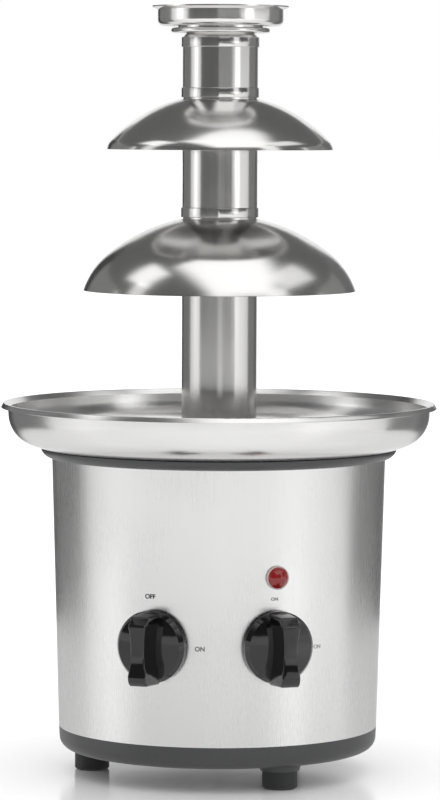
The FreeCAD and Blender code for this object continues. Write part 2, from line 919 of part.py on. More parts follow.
def makeTube(label, foot, length, topBand):
    # A tube that drops into the one below by a spigot, with a raised band above the joint
    bandFoot = foot + dim.neck_height
    bandTop = bandFoot + dim.collar_band_height
    edge = ("round", dim.collar_band_edge)
    top = foot + length
    corners = [
        (spigotBore, foot - dim.spigot_length),
        (spigotRadius, foot - dim.spigot_length),
        (spigotRadius, foot),
        (dim.neck_radius, foot),
        (dim.neck_radius, bandFoot),
        (dim.collar_band_radius, bandFoot, edge),
        (dim.collar_band_radius, bandTop, edge),
        (dim.tube_radius, bandTop),
    ]
    if topBand:
        corners += [
            (dim.tube_radius, top - dim.collar_band_height),
            (dim.collar_band_radius, top - dim.collar_band_height, edge),
            (dim.collar_band_radius, top, edge),
        ]
    else:
        corners += [(dim.tube_radius, top)]
    corners += [(tubeBore, top), (tubeBore, foot + dim.bore_step * 2), (spigotBore, foot + dim.bore_step)]
    return turned(label, corners)


def makeLowerTube():
    # Plain tube on the floor of the well, notched over the pins and open between them
    body = turned("lower_tube", ring(tubeBore, dim.tube_radius, wellFloor, lowerSeat))
    half = dim.pin_radius + dim.pin_clearance
    notchTop = wellFloor + dim.pin_height + dim.pin_clearance
    arch = dim.inlet_width / 2
    archTop = wellFloor + dim.inlet_height
    corner = ("round", dim.inlet_corner)
    for number, angle in enumerate(pinAngles, start=1):
        cutOut(body, f"pin_notch_{number}", angle + 90, outline, [
            (-half, wellFloor - past), (half, wellFloor - past), (half, notchTop), (-half, notchTop)])
        cutOut(body, f"inlet_{number}", angle + 90 + 180 / inletCount, outline, [
            (-arch, wellFloor - past), (arch, wellFloor - past), (arch, archTop, corner),
            (-arch, archTop, corner)])


makeLowerTube()
makeTube("middle_tube", middleFoot, dim.middle_tube_length, False)
makeTube("top_tube", topFoot, dim.top_tube_length, True)


# Tiers: pressed steel domes clamped between the tubes

def makeTier(label, seat, rim, crownRadius, shoulderRadius, shoulderAngle):
    # The crown arc has its centre on the axis; the shoulder arc runs on from it to the rim
    wall = dim.tier_wall
    hole = spigotRadius + dim.tier_hole_clearance
    flat = dim.tier_flat_radius
    crownCentre = seat + wall - root(crownRadius * crownRadius - flat * flat)
    shoulderAcross = (crownRadius - shoulderRadius) * sine(shoulderAngle)
    shoulderUp = crownCentre + (crownRadius - shoulderRadius) * cosine(shoulderAngle)
    rimAcross = (rim - shoulderAcross) / shoulderRadius
    rimUp = root(1 - rimAcross * rimAcross)
    innerCrown = crownRadius - wall
    innerShoulder = shoulderRadius - wall
    seatDrop = seat - crownCentre
    innerFlat = root(innerCrown * innerCrown - seatDrop * seatDrop)
    return turned(label, [
        (hole, seat + wall),
        (flat, seat + wall, ("left", crownRadius)),
        (crownRadius * sine(shoulderAngle), crownCentre + crownRadius * cosine(shoulderAngle),
         ("left", shoulderRadius)),
        (rim, shoulderUp + shoulderRadius * rimUp),
        (shoulderAcross + innerShoulder * rimAcross, shoulderUp + innerShoulder * rimUp,
         ("right", innerShoulder)),
        (innerCrown * sine(shoulderAngle), crownCentre + innerCrown * cosine(shoulderAngle),
         ("right", innerCrown)),
        (innerFlat, seat),
        (hole, seat),
    ])


makeTier("lower_tier", lowerSeat, dim.lower_tier_radius, dim.lower_crown_radius,
         dim.lower_shoulder_radius, dim.lower_shoulder_angle)
makeTier("upper_tier", upperSeat, dim.upper_tier_radius, dim.upper_crown_radius,
         dim.upper_shoulder_radius, dim.upper_shoulder_angle)


# Crown: flanged cup over a bead, plugged into the top tube

def makeCrown():
    wall = dim.crown_wall
    beadFoot = crownFoot + dim.crown_neck_height
    beadTop = beadFoot + dim.bead_height
    cupFoot = beadTop + dim.waist_height
    lipFoot = cupFoot + dim.cup_height
    lipTop = lipFoot + dim.cup_lip_rise
    beadEdge = ("round", dim.bead_height * edgeShare)
    return turned("crown", [
        (dim.crown_bore_radius, crownFoot - dim.spigot_length),
        (spigotRadius, crownFoot - dim.spigot_length),
        (spigotRadius, crownFoot),
        (dim.crown_neck_base_radius, crownFoot),
        (dim.crown_neck_top_radius, beadFoot),
        (dim.bead_radius, beadFoot, beadEdge),
        (dim.bead_radius, beadTop, beadEdge),
        (dim.waist_radius, beadTop),
        (dim.waist_radius, cupFoot),
        (dim.cup_radius, cupFoot, ("round", dim.cup_corner)),
        (dim.cup_radius, lipFoot),
        (dim.cup_lip_radius, lipTop),
        (dim.cup_lip_radius, lipTop + wall),
        (dim.cup_radius - wall, lipFoot + wall),
        (dim.cup_radius - wall, cupFoot + wall, ("round", dim.cup_corner - wall)),
        (dim.crown_bore_radius, cupFoot + wall),
    ])


makeCrown()
crownTop = (crownFoot + dim.crown_neck_height + dim.bead_height + dim.waist_height + dim.cup_height
            + dim.cup_lip_rise + dim.crown_wall)


# Screw that lifts the chocolate: a core with one continuous helical blade on a slotted hub

def makeAuger():
    hubFoot = wellFloor + dim.hub_floor_gap
    hubTop = hubFoot + dim.hub_height
    augerTop = crownTop - dim.auger_below_crown
    bladeFoot = hubFoot + dim.blade_foot_gap
    body = turned("auger", [
        (0, hubFoot),
        (dim.hub_radius, hubFoot),
        (dim.hub_radius, hubTop),
        (dim.core_radius, hubTop + dim.hub_radius - dim.core_radius),
        (dim.core_radius, augerTop, ("round", dim.core_radius * tipShare)),
        (0, augerTop),
    ])
    doc.recompute()
    sketch = sketchOn(body, "blade_section", "XZ_Plane")
    inside = dim.core_radius - overlap
    rootHalf = dim.blade_root / 2
    tipHalf = dim.blade_tip / 2
    outline(sketch, [
        (inside, bladeFoot), (dim.blade_radius, bladeFoot + rootHalf - tipHalf),
        (dim.blade_radius, bladeFoot + rootHalf + tipHalf), (inside, bladeFoot + dim.blade_root)])
    blade = body.newObject("PartDesign::AdditiveHelix", "blade")
    blade.Profile = sketch
    blade.ReferenceAxis = (sketch, ["V_Axis"])
    blade.Mode = "pitch-height-angle"
    bind(blade, "Pitch", dim.blade_pitch)
    bind(blade, "Height", augerTop - bladeFoot - dim.blade_root - dim.blade_top_gap)
    cutUp(body, "shaft_socket", hubFoot - past, shaftTop + dim.hole_gap - hubFoot + past, circles,
          [(0, 0, dim.shaft_radius + dim.hole_gap)])
    slotHalf = dim.drive_pin_radius + dim.loose_gap
    slotTop = shaftTop - dim.drive_pin_below_top + slotHalf
    reach = dim.hub_radius + past
    cutUp(body, "pin_slot", hubFoot - past, slotTop - hubFoot + past, outline, [
        (-reach, -slotHalf), (reach, -slotHalf), (reach, slotHalf), (-reach, slotHalf)])


makeAuger()


# Shaft, cross pin, seal and bearing

def makeShaft():
    radius = dim.shaft_radius
    foot = bracketUnder - dim.shaft_depth
    body = turned("drive_shaft", [
        (0, foot), (radius, foot), (radius, shaftTop - dim.end_bevel),
        (radius - dim.end_bevel, shaftTop), (0, shaftTop)])
    cutPin = doc.addObject("Part::Cylinder", "pin_hole")
    bind(cutPin, "Radius", dim.drive_pin_radius)
    bind(cutPin, "Height", dim.drive_pin_length)
    layAcross(cutPin)
    drilled = doc.addObject("Part::Cut", "drilled_shaft")
    drilled.Base = body
    drilled.Tool = cutPin
    body.Label = "plain_shaft"
    drilled.Label = "drive_shaft"
    pieces.remove(body)
    pieces.append(drilled)
    pin = doc.addObject("Part::Cylinder", "drive_pin")
    bind(pin, "Radius", dim.drive_pin_radius - dim.press_gap)
    bind(pin, "Height", dim.drive_pin_length)
    layAcross(pin)
    pieces.append(pin)


def layAcross(target):
    # Lays a cylinder across the axis at the height of the cross pin
    target.Placement = FreeCAD.Placement(
        FreeCAD.Vector(0, 0, 0), FreeCAD.Rotation(FreeCAD.Vector(0, 1, 0), 90))
    bind(target, "Placement.Base.x", -dim.drive_pin_length / 2)
    bind(target, "Placement.Base.z", shaftTop - dim.drive_pin_below_top)


makeShaft()

shaftBore = dim.shaft_radius + dim.running_clearance
turned("shaft_seal", [
    (shaftBore, wellUnder - dim.seal_flange_height),
    (dim.seal_flange_radius, wellUnder - dim.seal_flange_height),
    (dim.seal_flange_radius, wellUnder),
    (dim.seal_hole_radius - dim.snug_gap, wellUnder),
    (dim.seal_hole_radius - dim.snug_gap, wellFloor),
    (dim.seal_flange_radius, wellFloor),
    (dim.seal_flange_radius, wellFloor + dim.seal_flange_height),
    (dim.shaft_radius + dim.seal_lip_root, wellFloor + dim.seal_flange_height),
    (dim.shaft_radius + dim.seal_lip_tip, wellFloor + dim.seal_lip_height),
    (shaftBore, wellFloor + dim.seal_lip_height),
])
noseTop = bracketUnder + dim.nose_height
turned("shaft_bush", ring(shaftBore, dim.bush_radius - dim.press_gap, noseTop - dim.bush_length, noseTop))


# Heater: cast plate under the bowl with a tubular element, a thermostat and a fuse

def makeHeatPlate():
    under = bowlSeat - dim.plate_thickness
    body = turned("heat_plate", ring(dim.plate_inner_radius, dim.plate_outer_radius, under, bowlSeat))
    addGroove(body, "element_groove", dim.element_circle, under, dim.element_radius + dim.slip_gap)
    cutUp(body, "stud_holes", under - past, dim.plate_thickness + 2 * past, circles,
          [(*around(dim.stud_circle, angle), dim.stud_radius + dim.loose_gap) for angle in studAngles])


def addGroove(body, name, across, up, radius):
    # A round-bottomed groove turned into a face
    doc.recompute()
    before = body.Shape.Volume
    sketch = sketchOn(body, name, "XZ_Plane")
    circles(sketch, [(across, up, radius)])
    feature = body.newObject("PartDesign::Groove", name + "_cut")
    feature.Profile = sketch
    feature.ReferenceAxis = (sketch, ["V_Axis"])
    feature.Angle = 360
    doc.recompute()
    if body.Shape.Volume >= before:
        raise RuntimeError(f"{name} cuts nothing")


makeHeatPlate()


def makeElement():
    # Most of a ring, with a terminal pin at each end pointing down
    under = bowlSeat - dim.plate_thickness
    loop = doc.addObject("Part::Torus", "element_loop")
    bind(loop, "Radius1", dim.element_circle)
    bind(loop, "Radius2", dim.element_radius)
    bind(loop, "Angle3", dim.element_sweep)
    gap = (360 - dim.element_sweep) / 2
    place(loop, 0, 0, under, gap)
    parts = [loop]
    for number, angle in enumerate((gap + dim.terminal_inset, -gap - dim.terminal_inset), start=1):
        pin = doc.addObject("Part::Cylinder", f"element_terminal_{number}")
        bind(pin, "Radius", dim.terminal_pin_radius)
        bind(pin, "Height", dim.terminal_pin_length)
        place(pin, *around(dim.element_circle, angle), under - dim.terminal_pin_length)
        parts.append(pin)
    element = doc.addObject("Part::MultiFuse", "heating_element")
    element.Shapes = parts
    pieces.append(element)


makeElement()


def makeThermostat():
    under = bowlSeat - dim.plate_thickness
    rim = dim.thermostat_radius
    can = rim - dim.thermostat_rim
    body = turned("thermostat", [
        (0, -dim.thermostat_height), (can, -dim.thermostat_height), (can, -dim.thermostat_rim_height),
        (rim, -dim.thermostat_rim_height), (rim, -dim.end_bevel), (rim - dim.end_bevel, 0), (0, 0)])
    place(body, *around(dim.thermostat_circle, dim.thermostat_angle), under)


makeThermostat()


def makeFuse():
    # Sealed one-shot fuse lying against the plate
    under = bowlSeat - dim.plate_thickness
    fuse = doc.addObject("Part::Cylinder", "thermal_fuse")
    bind(fuse, "Radius", dim.fuse_radius)
    bind(fuse, "Height", dim.fuse_length)
    fuse.Placement = FreeCAD.Placement(
        FreeCAD.Vector(0, 0, 0), FreeCAD.Rotation(FreeCAD.Vector(0, 1, 0), 90))
    across, along = around(dim.thermostat_circle, dim.fuse_angle)
    bind(fuse, "Placement.Base.x", across - dim.fuse_length / 2)
    bind(fuse, "Placement.Base.y", along)
    bind(fuse, "Placement.Base.z", under - dim.fuse_radius)
    pieces.append(fuse)


makeFuse()


# Motor unit hung from studs under the bowl

group("bowl_studs", [
    makeStud(f"bowl_stud_{number}", dim.stud_radius, bracketUnder - dim.nut_height - dim.stud_end, bowlSeat,
             *around(dim.stud_circle, angle))
    for number, angle in enumerate(studAngles, start=1)])


def makeNut(label, flats, height, bore):
    # A hexagon nut standing on its face, its thread left plain
    body = newBody(label)
    reach = flats / 2 / cosine(180 / nutSides)
    addPad(body, label + "_hexagon", 0, height, outline,
           [around(reach, 360 / nutSides * side) for side in range(nutSides)])
    cutUp(body, label + "_bore", 0, height, circles, [(0, 0, bore)])
    return body


def makeStudNuts():
    levels = (bowlSeat - dim.plate_thickness - dim.nut_height, bracketTop, bracketUnder - dim.nut_height)
    nuts = []
    for angle in studAngles:
        for level in levels:
            nut = makeNut(f"stud_nut_{len(nuts) + 1}", dim.nut_flats, dim.nut_height,
                          dim.stud_radius + dim.thread_gap)
            place(nut, *around(dim.stud_circle, angle), level)
            nuts.append(nut)
    group("stud_nuts", nuts)


makeStudNuts()

screwAngles = [90 + 360 / screwCount * number for number in range(screwCount)]


def makeBracket():
    # Pressed plate, pierced for the gearbox nose, the studs, the screws and lightness
    body = turned("motor_bracket", ring(
        dim.nose_radius + dim.loose_gap, dim.bracket_radius, bracketUnder, bracketTop))
    for name, circle, angles, radius in (
            ("bracket_stud_holes", dim.stud_circle, studAngles, dim.stud_radius + dim.loose_gap),
            ("bracket_screw_holes", dim.gearbox_screw_circle, screwAngles,
             dim.gearbox_screw_radius + dim.hole_gap),
            ("bracket_windows", dim.bracket_window_circle, screwAngles, dim.bracket_window_radius)):
        cutUp(body, name, bracketUnder - past, dim.bracket_thickness + 2 * past, circles,
              [(*around(circle, angle), radius) for angle in angles])


makeBracket()


def makeGearbox():
    radius = dim.gearbox_radius
    boreFoot = bracketUnder - dim.shaft_depth - dim.snug_gap
    body = turned("gearbox_case", [
        (0, gearboxUnder),
        (radius, gearboxUnder),
        (radius, bracketUnder, ("round", dim.gearbox_edge)),
        (dim.nose_radius, bracketUnder),
        (dim.nose_radius, noseTop),
        (dim.bush_radius, noseTop),
        (dim.bush_radius, noseTop - dim.bush_length),
        (dim.shaft_radius + dim.loose_gap, noseTop - dim.bush_length),
        (dim.shaft_radius + dim.loose_gap, boreFoot),
        (0, boreFoot),
    ])
    doc.recompute()
    sketch = sketchOn(body, "case_screw_holes", "XY_Plane", height=bracketUnder)
    circles(sketch, [(*around(dim.gearbox_screw_circle, angle), dim.gearbox_screw_radius + dim.snug_gap)
                     for angle in screwAngles])
    holes = body.newObject("PartDesign::Pocket", "case_screw_holes_cut")
    holes.Profile = sketch
    bind(holes, "Length", dim.gearbox_screw_hole)


makeGearbox()


def makeGearboxScrew(number, angle):
    # A pan-head screw pointing down
    head = dim.gearbox_screw_head_radius
    headTop = dim.gearbox_screw_head_height
    shank = dim.gearbox_screw_radius
    reach = dim.bracket_thickness + dim.gearbox_screw_length
    body = turned(f"gearbox_screw_{number}", [
        (0, -reach), (shank, -reach), (shank, 0), (head, 0), (head, headTop, ("round", headTop * edgeShare)),
        (0, headTop)])
    place(body, *around(dim.gearbox_screw_circle, angle), bracketTop)
    return body


group("gearbox_screws", [
    makeGearboxScrew(number, angle) for number, angle in enumerate(screwAngles, start=1)])
turned("motor_can", [
    (0, gearboxUnder - dim.motor_height),
    (dim.motor_radius, gearboxUnder - dim.motor_height, ("round", dim.motor_edge)),
    (dim.motor_radius, gearboxUnder),
    (0, gearboxUnder),
])


# Controls: rotary switches behind the drum wall, each with a nut, a spindle and a knob

def makeSwitch(label, turn):
    half = dim.switch_width / 2
    back = dim.switch_setback + dim.switch_depth
    body = newBody(label)
    corner = ("round", dim.switch_corner)
    addPad(body, label + "_case", -back, dim.switch_depth, outline, [
        (-half, -half, corner), (half, -half, corner), (half, half, corner), (-half, half, corner)])
    addPad(body, label + "_neck", -dim.switch_setback - overlap,
           dim.switch_setback + overlap + dim.switch_neck_length, circles, [(0, 0, dim.switch_neck_radius)])
    bore = sketchOn(body, label + "_bore", "XY_Plane", height=dim.switch_floor - back)
    circles(bore, [(0, 0, dim.spindle_radius + dim.running_clearance)])
    cut = body.newObject("PartDesign::Pocket", label + "_bore_cut")
    cut.Profile = bore
    cut.Reversed = True
    bind(cut, "Length", back + dim.switch_neck_length)
    standOut(body, turn, dim.knob_height)


def makeSpindle(label, turn):
    # Round spindle with a flat along the end that carries the knob
    radius = dim.spindle_radius
    tip = dim.spindle_reach
    foot = dim.switch_floor + dim.hole_gap - dim.switch_setback - dim.switch_depth
    body = turned(label, [
        (0, foot), (radius, foot), (radius, tip - dim.end_bevel), (radius - dim.end_bevel, tip), (0, tip)])
    flatFoot = dim.switch_neck_length + dim.end_bevel
    reach = radius + past
    cutUp(body, label + "_flat", flatFoot, tip - flatFoot + past, outline, [
        (-reach, radius - dim.spindle_flat), (reach, radius - dim.spindle_flat),
        (reach, reach), (-reach, reach)])
    standOut(body, turn, dim.knob_height)


def makeKnob(label, turn):
    # Round skirt with a waisted grip across it, hollow behind to cover the nut
    skirt = dim.knob_radius
    low = dim.knob_gap
    discTop = dim.knob_disc_height
    inside = skirt - dim.knob_wall
    face = skirt - dim.knob_slope
    faceRadius = (face * face + dim.knob_dome * dim.knob_dome) / dim.knob_dome / 2
    body = turned(label, [
        (0, low + dim.knob_cavity_depth),
        (inside, low + dim.knob_cavity_depth),
        (inside, low),
        (skirt, low),
        (skirt, low + dim.knob_skirt),
        (face, discTop, ("right", faceRadius)),
        (0, discTop + dim.knob_dome),
    ])
    end = dim.grip_width / 2
    waist = dim.grip_waist / 2
    bottom = skirt + dim.grip_overhang
    top = skirt - dim.grip_top_inset
    gripFoot = low + dim.knob_cavity_depth
    corner = ("round", dim.grip_corner)
    waistReach = top * dim.grip_waist_share
    waistDip = end - waist
    waistRadius = (waistReach * waistReach + waistDip * waistDip) / waistDip / 2
    grip = addPad(body, label + "_grip", gripFoot, dim.grip_height - gripFoot, outline, [
        (-end, -bottom, corner),
        (end, -bottom, corner),
        (end, -waistReach, ("left", waistRadius)),
        (end, waistReach),
        (end, top, corner),
        (-end, top, corner),
        (-end, waistReach, ("left", waistRadius)),
        (-end, -waistReach),
    ])
    bind(grip, "TaperAngle", -dim.grip_taper)
    # Seen from the side: a rounded lower end, a hollowed front and a sloping upper end
    front = dim.grip_height
    dropTo = front - dim.shoulder_drop
    toe = dim.grip_toe
    hollowLow = toe - bottom
    hollowTop = top - dim.shoulder_length
    halfSpan = (hollowTop - hollowLow) / 2
    hollowRadius = (halfSpan * halfSpan + dim.grip_dip * dim.grip_dip) / dim.grip_dip / 2
    cutAcross(body, label + "_front", [
        (-bottom - past, front + past),
        (-bottom - past, front - toe),
        (-bottom, front - toe, ("left", toe)),
        (hollowLow, front, ("right", hollowRadius)),
        (hollowTop, front),
        (top + past, dropTo),
        (top + 2 * past, dropTo),
        (top + 2 * past, front + past),
    ])
    shaped = body.Tip
    soft = body.newObject("PartDesign::Fillet", label + "_soft_edges")
    soft.Base = (shaped, edgesAbove(shaped.Shape, float(dropTo - 2 * past)))
    bind(soft, "Radius", dim.grip_edge)
    doc.recompute()
    cutUp(body, label + "_spindle_bore", low, dim.spindle_reach - low + dim.loose_gap, circles,
          [(0, 0, dim.spindle_radius + dim.thread_gap)])
    standOut(body, turn, dim.knob_height)


nuts = []
for name, turn in (("motor", -dim.panel_angle), ("heat", dim.panel_angle)):
    makeSwitch(f"{name}_switch", turn)
    makeSpindle(f"{name}_spindle", turn)
    makeKnob(f"{name}_knob", turn)
    nut = makeNut(f"{name}_switch_nut", dim.switch_nut_flats, dim.switch_nut_height,
                  dim.switch_neck_radius + dim.thread_gap)
    standOut(nut, turn, dim.knob_height, drop=-dim.switch_nut_gap)
    nuts.append(nut)
group("switch_nuts", nuts)


# Pilot light: domed lens in a bezel, on a body through the drum wall

def makePilot():
    lens = dim.pilot_radius
    lip = dim.pilot_bezel_height
    foot = dim.loose_gap
    floor = foot + dim.pilot_bezel_floor
    bezelBore = dim.pilot_body_radius + dim.slip_gap
    bezel = turned("pilot_bezel", [
        (bezelBore, foot),
        (dim.pilot_bezel_radius, foot),
        (dim.pilot_bezel_radius, foot + lip, ("round", dim.pilot_bezel_edge)),
        (lens + dim.slip_gap, foot + lip),
        (lens + dim.slip_gap, floor),
        (bezelBore, floor),
    ])
    domeRadius = (lens * lens + dim.pilot_dome * dim.pilot_dome) / dim.pilot_dome / 2
    lensFoot = floor + dim.snug_gap
    dome = turned("pilot_lens", [
        (0, lensFoot), (lens, lensFoot), (lens, lensFoot + lip, ("right", domeRadius)),
        (0, lensFoot + lip + dim.pilot_dome)])
    back = floor - dim.pilot_body_length
    body = turned("pilot_body", [
        (0, back), (dim.pilot_body_radius - dim.end_bevel, back),
        (dim.pilot_body_radius, back + dim.end_bevel), (dim.pilot_body_radius, floor), (0, floor)])
    for piece in (bezel, dome, body):
        standOut(piece, dim.panel_angle, pilotHeight)


makePilot()


# Terminal block on the floor of the pan, towards the back

def makeTerminalBlock():
    half = dim.block_length / 2
    front = dim.block_offset - dim.block_width / 2
    back = dim.block_offset + dim.block_width / 2
    body = newBody("terminal_block")
    addPad(body, "block", panFloor, dim.block_height, outline, [
        (-half, front), (half, front), (half, back), (-half, back)])
    spots = [(dim.block_screw_pitch * step, dim.block_offset) for step in (-1, 0, 1)]
    wellFoot = panFloor + dim.block_height - dim.block_well_depth
    cutUp(body, "screw_wells", wellFoot, dim.block_well_depth + past, circles,
          [(*spot, dim.block_screw_radius + dim.head_gap) for spot in spots])
    group("terminal_screws", [
        makeStud(f"terminal_screw_{number}", dim.block_screw_radius, wellFoot,
                 wellFoot + dim.block_screw_height, *spot)
        for number, spot in enumerate(spots, start=1)])


makeTerminalBlock()


# Check and write every piece

doc.recompute()
faults = [f"{item.Label}: {item.State}" for item in doc.Objects
          if "Invalid" in item.State or "Error" in item.State]
for piece in pieces:
    if piece.Shape.isNull() or not piece.Shape.isValid() or not piece.Shape.Solids:
        faults.append(f"{piece.Label} has no valid solid")
if faults:
    raise RuntimeError("; ".join(faults))
os.makedirs("parts", exist_ok=True)
for piece in pieces:
    piece.Shape.exportStep(f"parts/{piece.Label}.step")
    box = piece.Shape.BoundBox
    print(f"{piece.Label:16} {len(piece.Shape.Solids)} solids, height {box.ZMin:.1f} to {box.ZMax:.1f}")
print(f"{len(pieces)} pieces")
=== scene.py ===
import math

import bmesh
import bpy
from mathutils import Matrix, Vector
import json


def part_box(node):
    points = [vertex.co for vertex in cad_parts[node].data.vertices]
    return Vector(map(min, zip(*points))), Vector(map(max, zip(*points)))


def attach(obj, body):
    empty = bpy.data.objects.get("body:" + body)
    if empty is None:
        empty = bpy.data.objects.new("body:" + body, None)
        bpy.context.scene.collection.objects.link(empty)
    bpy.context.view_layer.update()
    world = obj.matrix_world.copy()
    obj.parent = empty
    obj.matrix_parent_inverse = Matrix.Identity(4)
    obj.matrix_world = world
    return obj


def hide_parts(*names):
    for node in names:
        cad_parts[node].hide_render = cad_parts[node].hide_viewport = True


# A steel chocolate fountain: drum, bowl and a tower of tubes and domes. Metres throughout.

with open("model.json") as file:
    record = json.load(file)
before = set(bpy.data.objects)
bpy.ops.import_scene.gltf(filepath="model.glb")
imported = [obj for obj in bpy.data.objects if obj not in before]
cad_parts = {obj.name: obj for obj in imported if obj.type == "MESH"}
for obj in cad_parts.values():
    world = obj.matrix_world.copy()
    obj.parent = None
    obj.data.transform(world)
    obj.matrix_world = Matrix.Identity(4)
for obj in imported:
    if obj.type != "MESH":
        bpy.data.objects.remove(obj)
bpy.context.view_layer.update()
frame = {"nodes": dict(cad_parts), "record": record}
mm = 0.001
print("frame loaded:", len(frame["nodes"]), "nodes")


# Helpers for objects and places

def addObject(name, data):
    made = bpy.data.objects.new(name, data)
    bpy.context.scene.collection.objects.link(made)
    return made


def plainMesh(holder):
    # the holder's finished shape as a plain mesh; the holder itself goes
    mesh = bpy.data.meshes.new_from_object(holder.evaluated_get(bpy.context.evaluated_depsgraph_get()))
    bpy.data.objects.remove(holder)
    return mesh


def aroundObject(angle, distance, height):
    # a place at an angle from the front, plus to the right
    turn = math.radians(angle)
    return Vector((math.sin(turn) * distance, -math.cos(turn) * distance, height))


# Helpers for shader nodes

def setSockets(node, **values):
    # each value goes on the input of the same name, with _ for a space
    for key, value in values.items():
        node.inputs[key.replace("_", " ")].default_value = value


def addNode(tree, kind, settings=None, **values):
    node = tree.nodes.new(kind)
    for key, value in (settings or {}).items():
        setattr(node, key, value)
    setSockets(node, **values)
    return node


def feed(tree, socket, value):
    # value is another node's output to link, or a number to set
    if isinstance(value, bpy.types.NodeSocket):
        tree.links.new(value, socket)
    else:
        socket.default_value = value


def addMath(tree, operation, *values):
    node = addNode(tree, "ShaderNodeMath", {"operation": operation})
    for socket, value in zip(node.inputs, values):
        feed(tree, socket, value)
    return node.outputs[0]


def addRange(tree, value, fromRange, toRange=(0, 1), kind="LINEAR"):
    # value carried from one range to the other and held at its ends
    node = addNode(tree, "ShaderNodeMapRange", {"interpolation_type": kind})
    labels = ("Value", "From Min", "From Max", "To Min", "To Max")
    for label, given in zip(labels, (value, *fromRange, *toRange)):
        feed(tree, node.inputs[label], given)
    return node.outputs["Result"]


def shadeColor(tree, color, factor):
    node = addNode(tree, "ShaderNodeVectorMath", {"operation": "SCALE"})
    feed(tree, node.inputs[0], color)
    feed(tree, node.inputs["Scale"], factor)
    return node.outputs[0]


def objectPlace(tree):
    return addNode(tree, "ShaderNodeTexCoord").outputs["Object"]


# Shared shader groups

def newGroup(name, inputs, outputs):
    group = bpy.data.node_groups.new(name, "ShaderNodeTree")
    for label, kind, value in inputs:
        socket = group.interface.new_socket(name=label, in_out="INPUT", socket_type=kind)
        socket.default_value = value
    for label, kind in outputs:
        group.interface.new_socket(name=label, in_out="OUTPUT", socket_type=kind)
    return group, group.nodes.new("NodeGroupInput").outputs, group.nodes.new("NodeGroupOutput").inputs


def makeGrainGroup():
    # fine parallel scratches; Stretch squeezes the pattern so that it runs along one direction
    group, given, out = newGroup("brushedGrain", [
        ("Stretch", "NodeSocketVector", (1800, 1800, 12)),
        ("Tone Depth", "NodeSocketFloat", 0.1),
        ("Base", "NodeSocketColor", (0.74, 0.74, 0.74, 1)),
        ("Roughness", "NodeSocketFloat", 0.3),
        ("Roughness Depth", "NodeSocketFloat", 0.1),
    ], [("Color", "NodeSocketColor"), ("Roughness", "NodeSocketFloat"), ("Height", "NodeSocketFloat")])
    squeeze = addNode(group, "ShaderNodeVectorMath", {"operation": "MULTIPLY"})
    feed(group, squeeze.inputs[0], objectPlace(group))
    feed(group, squeeze.inputs[1], given["Stretch"])
    scratches = addNode(group, "ShaderNodeTexNoise", Scale=1, Detail=3, Roughness=0.6)
    feed(group, scratches.inputs["Vector"], squeeze.outputs[0])
    centred = addMath(group, "SUBTRACT", scratches.outputs["Fac"], 0.5)
    tone = addMath(group, "MULTIPLY_ADD", centred, given["Tone Depth"], 1)
    feed(group, out["Color"], shadeColor(group, given["Base"], tone))
    feed(group, out["Roughness"],
         addMath(group, "MULTIPLY_ADD", centred, given["Roughness Depth"], given["Roughness"]))
    feed(group, out["Height"], scratches.outputs["Fac"])
    return group


def makeHandlingGroup():
    # soft cloudy marks of handling and wiping, as a change of roughness
    group, given, out = newGroup("handlingMarks", [
        ("Scale", "NodeSocketFloat", 30.0),
        ("Roughness", "NodeSocketFloat", 0.3),
        ("Depth", "NodeSocketFloat", 0.08),
    ], [("Roughness", "NodeSocketFloat")])
    cloud = addNode(group, "ShaderNodeTexNoise", Detail=4, Roughness=0.55, Distortion=0.4)
    feed(group, cloud.inputs["Vector"], objectPlace(group))
    feed(group, cloud.inputs["Scale"], given["Scale"])
    marked = addRange(group, cloud.outputs["Fac"], (0.4, 0.75))
    feed(group, out["Roughness"], addMath(group, "MULTIPLY_ADD", marked, given["Depth"], given["Roughness"]))
    return group


def makeMouldedGroup():
    # fine moulded texture of plastic and rubber, with slow changes of tone
    group, given, out = newGroup("mouldedTexture", [
        ("Scale", "NodeSocketFloat", 2500.0),
        ("Base", "NodeSocketColor", (0.05, 0.05, 0.05, 1)),
        ("Roughness", "NodeSocketFloat", 0.5),
    ], [("Color", "NodeSocketColor"), ("Roughness", "NodeSocketFloat"), ("Height", "NodeSocketFloat")])
    where = objectPlace(group)
    fine = addNode(group, "ShaderNodeTexNoise", Detail=2)
    feed(group, fine.inputs["Vector"], where)
    feed(group, fine.inputs["Scale"], given["Scale"])
    broad = addNode(group, "ShaderNodeTexNoise", Scale=45, Detail=3)
    feed(group, broad.inputs["Vector"], where)
    tone = addRange(group, broad.outputs["Fac"], (0, 1), (0.88, 1.12))
    feed(group, out["Color"], shadeColor(group, given["Base"], tone))
    feed(group, out["Roughness"], addMath(group, "MULTIPLY", given["Roughness"], tone))
    feed(group, out["Height"], fine.outputs["Fac"])
    return group


grainGroup = makeGrainGroup()
handlingGroup = makeHandlingGroup()
mouldedGroup = makeMouldedGroup()


# Materials, named after the record's slots

surface = {
    "handlingScale": 22,
    "handlingDepth": 0.05,
    "grainRelief": 0.05 * mm,
    "mouldedRelief": 0.04 * mm,
    "coatRoughness": 0.04,
}


def startMaterial(name):
    material = bpy.data.materials.new(name)
    material.use_nodes = True
    tree = material.node_tree
    return material, tree, tree.nodes["Principled BSDF"]


def addBump(tree, height, shader, strength, relief):
    bump = addNode(tree, "ShaderNodeBump", Strength=strength, Distance=relief)
    feed(tree, bump.inputs["Height"], height)
    feed(tree, shader.inputs["Normal"], bump.outputs["Normal"])


